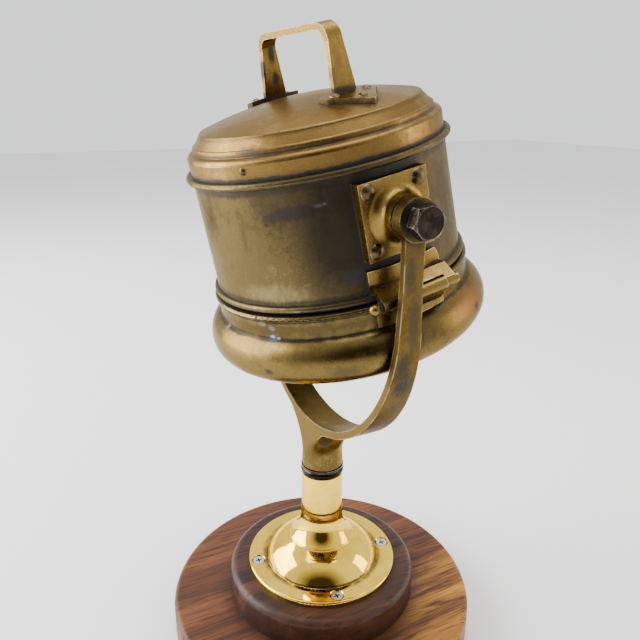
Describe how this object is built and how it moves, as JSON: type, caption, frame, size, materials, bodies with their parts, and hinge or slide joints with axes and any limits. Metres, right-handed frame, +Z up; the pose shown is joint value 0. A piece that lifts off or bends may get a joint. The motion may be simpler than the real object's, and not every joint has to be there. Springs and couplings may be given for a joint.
{
  "type": "binnacle compass",
  "caption": "Hooded gimballed compass in a tilting yoke that swivels on a turned pedestal with a two-step round wooden base.",
  "frame": {"origin": "centre of the underside of the base, on the swivel axis", "axes": "+Z up along the swivel axis, +X along the trunnion axis towards the hinge side, +Y so that the head's top leans towards -Y"},
  "size_m": [0.1912, 0.1912, 0.3588],
  "materials": {
    "felt": "matt",
    "walnut_light": "satin",
    "walnut_dark": "satin",
    "polished_brass": "polished",
    "blackened_brass": "gloss black",
    "bright_steel": "bright",
    "yoke_brass": "aged satin",
    "drum_brass": "aged satin",
    "lid_brass": "aged satin",
    "bezel_brass": "aged, part polished",
    "handle_brass": "worn",
    "rivet_brass": "dark aged",
    "plate_brass": "aged",
    "dark_bronze": "dark bronze",
    "hinge_brass": "aged",
    "rubber": "matt",
    "bezel_pane": "clear",
    "bowl_pane": "clear",
    "inner_brass": "satin",
    "bowl_enamel": "blackened",
    "black_mark": "matt black",
    "card_face": "printed dial",
    "float_copper": "satin",
    "magnet_steel": "ground"
  },
  "bodies": {
    "stand": {"felt_pad": "felt", "base_disc": "walnut_light", "base_tier": "walnut_dark", "pedestal_base": "polished_brass", "pedestal_post": "polished_brass", "stem_collar": "blackened_brass", "pedestal_screws": "bright_steel"},
    "yoke": {"yoke": "yoke_brass", "stem_washer": "bright_steel", "stem_screw": "bright_steel"},
    "head": {"drum": "drum_brass", "lid": "lid_brass", "lid_screws": "rivet_brass", "handle": "handle_brass", "handle_rivets": "rivet_brass", "trunnion_plate_right": "plate_brass", "trunnion_plate_left": "plate_brass", "trunnion_rivets": "rivet_brass", "trunnion_bolts": "dark_bronze", "hinge_leaf_drum": "hinge_brass", "hinge_pin": "hinge_brass", "gimbal_brackets": "inner_brass"},
    "bezel": {"bezel_ring": "bezel_brass", "hinge_leaf_bezel": "hinge_brass", "glass_gasket": "rubber", "bezel_glass": "bezel_pane", "glass_retainer": "inner_brass", "retainer_screws": "rivet_brass"},
    "gimbal": {"gimbal_ring": "inner_brass", "ring_pins": "inner_brass"},
    "bowl": {"bowl": "bowl_enamel", "bowl_pins": "inner_brass", "bowl_gasket": "rubber", "bowl_glass": "bowl_pane", "bowl_cover": "inner_brass", "cover_screws": "rivet_brass", "ballast_ring": "inner_brass", "pivot_bridge": "inner_brass", "lubber_line": "black_mark"},
    "card": {"compass_card": "card_face", "card_float": "float_copper", "card_cap": "inner_brass", "card_magnets": "magnet_steel"}
  },
  "joints": [
    {"name": "yoke_swivel", "type": "hinge", "parent": "stand", "child": "yoke", "pos_m": [0, 0, 0.1], "axis": [0, 0, 1], "continuous": true},
    {"name": "head_tilt", "type": "hinge", "parent": "yoke", "child": "head", "pos_m": [0, 0, 0.2755], "axis": [1, 0, 0], "continuous": true},
    {"name": "bezel_hinge", "type": "hinge", "parent": "head", "child": "bezel", "pos_m": [0.0746, 0.0083, 0.23862], "axis": [0, -0.9756, -0.2195], "range_deg": [0, 3]},
    {"name": "gimbal_pitch", "type": "hinge", "parent": "head", "child": "gimbal", "pos_m": [0, 0.00132, 0.26965], "axis": [1, 0, 0], "range_deg": [-23, 48]},
    {"name": "gimbal_roll", "type": "hinge", "parent": "gimbal", "child": "bowl", "pos_m": [0, 0.00132, 0.26965], "axis": [0, 1, 0], "range_deg": [-30, 30]},
    {"name": "card_spin", "type": "hinge", "parent": "bowl", "child": "card", "pos_m": [0, 0.00132, 0.26965], "axis": [0, 0, 1], "continuous": true}
  ]
}
